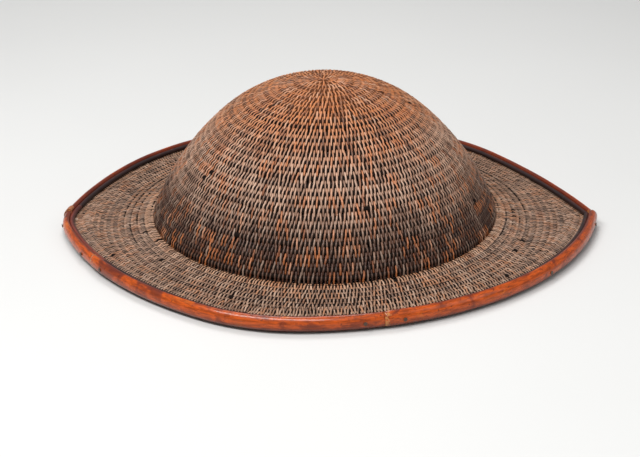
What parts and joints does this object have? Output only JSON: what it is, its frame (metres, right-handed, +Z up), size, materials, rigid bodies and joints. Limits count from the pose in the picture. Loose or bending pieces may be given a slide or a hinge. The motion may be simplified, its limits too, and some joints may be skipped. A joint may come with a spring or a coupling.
{
  "type": "conical hat",
  "caption": "Broad hat of coiled, stitched cane: a domed crown folds into a wide brim, pointed at both ends and edged with a thick split cane rim.",
  "frame": {"origin": "on the resting plane, under the middle of the hat's outline", "axes": "+Z up through the crown, +X towards the sharper point of the brim, front towards -Y"},
  "size_m": [0.4129, 0.382, 0.1217],
  "materials": {
    "core_cane": "dull, darkened round cane",
    "crown_stitching": "worn split cane, orange tan at the top and dark brown below",
    "brim_stitching": "worn split cane, dusty grey brown",
    "rim_cane": "lacquered split cane, glossy orange red",
    "rim_strip": "lacquered cane strip, dark red to black",
    "lower_strip": "cane strip, brown",
    "collar": "pale split cane",
    "pin": "dark bamboo pin",
    "head_ring": "plain bamboo and cane, satin"
  },
  "bodies": {
    "root": {"coil_start": "core_cane", "crown_core_cane_1": "core_cane", "crown_core_cane_2": "core_cane", "crown_core_cane_3": "core_cane", "crown_core_cane_4": "core_cane", "crown_core_cane_5": "core_cane", "inner_brim_core_cane_1": "core_cane", "inner_brim_core_cane_2": "core_cane", "outer_brim_core_cane_1": "core_cane", "outer_brim_core_cane_2": "core_cane", "outer_brim_core_cane_3": "core_cane", "short_course_canes": "core_cane", "crown_stitching": "crown_stitching", "inner_brim_stitching": "brim_stitching", "outer_brim_stitching": "brim_stitching", "short_course_stitching": "brim_stitching", "rim_cane_back": "rim_cane", "rim_cane_left_end": "rim_cane", "rim_cane_front_left": "rim_cane", "rim_cane_front_right": "rim_cane", "upper_strip_back": "rim_strip", "upper_strip_left_end": "rim_strip", "upper_strip_front": "rim_strip", "lower_strip_back": "lower_strip", "lower_strip_front": "lower_strip", "rim_collar": "collar", "rim_pins": "pin", "head_band": "head_ring", "head_hoop": "head_ring", "head_ring_stays": "head_ring"}
  },
  "joints": []
}
